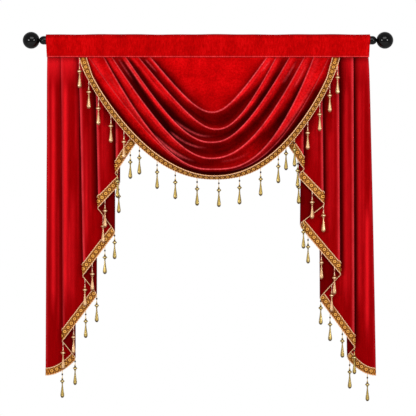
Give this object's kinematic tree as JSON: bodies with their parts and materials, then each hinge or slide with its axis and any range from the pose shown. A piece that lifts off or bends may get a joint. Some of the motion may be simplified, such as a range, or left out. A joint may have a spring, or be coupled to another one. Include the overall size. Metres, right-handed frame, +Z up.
{
  "type": "velvet swag valance on a curtain rod",
  "caption": "Red velvet swag valance with two cascade tails, gold braid and beaded drops, hung from a black curtain rod with ball finials.",
  "frame": {"origin": "middle of the rod's axis", "axes": "+Z up, +X to the right as seen from the room, -Y towards the room"},
  "size_m": [1.1322, 0.1057, 1.1302],
  "materials": {
    "velvet": "cut velvet with a short pile, soft sheen on the folds",
    "braid": "woven gold braid with a rosette pattern and corded edges",
    "beads": "amber and gold acrylic beads, polished",
    "rod_finish": "gloss black lacquer"
  },
  "bodies": {
    "root": {"rod": "rod_finish", "finial_left": "rod_finish", "finial_right": "rod_finish", "header": "velvet", "swag": "velvet", "tail_left": "velvet", "tail_right": "velvet", "swag_braid": "braid", "tail_left_braid": "braid", "tail_right_braid": "braid", "swag_drop_01": "beads", "swag_drop_02": "beads", "swag_drop_03": "beads", "swag_drop_04": "beads", "swag_drop_05": "beads", "swag_drop_06": "beads", "swag_drop_07": "beads", "swag_drop_08": "beads", "swag_drop_09": "beads", "swag_drop_10": "beads", "swag_drop_11": "beads", "swag_drop_12": "beads", "swag_drop_13": "beads", "swag_drop_14": "beads", "swag_drop_15": "beads", "swag_drop_16": "beads", "swag_drop_17": "beads", "swag_drop_18": "beads", "left_drop_01": "beads", "left_drop_02": "beads", "left_drop_03": "beads", "left_drop_04": "beads", "left_drop_05": "beads", "left_drop_06": "beads", "left_drop_07": "beads", "left_drop_08": "beads", "left_drop_09": "beads", "left_drop_10": "beads", "left_drop_11": "beads", "left_drop_12": "beads", "left_drop_13": "beads", "left_drop_14": "beads", "left_drop_15": "beads", "right_drop_01": "beads", "right_drop_02": "beads", "right_drop_03": "beads", "right_drop_04": "beads", "right_drop_05": "beads", "right_drop_06": "beads", "right_drop_07": "beads", "right_drop_08": "beads", "right_drop_09": "beads", "right_drop_10": "beads", "right_drop_11": "beads", "right_drop_12": "beads", "right_drop_13": "beads", "right_drop_14": "beads", "right_drop_15": "beads", "right_drop_16": "beads"}
  },
  "joints": []
}
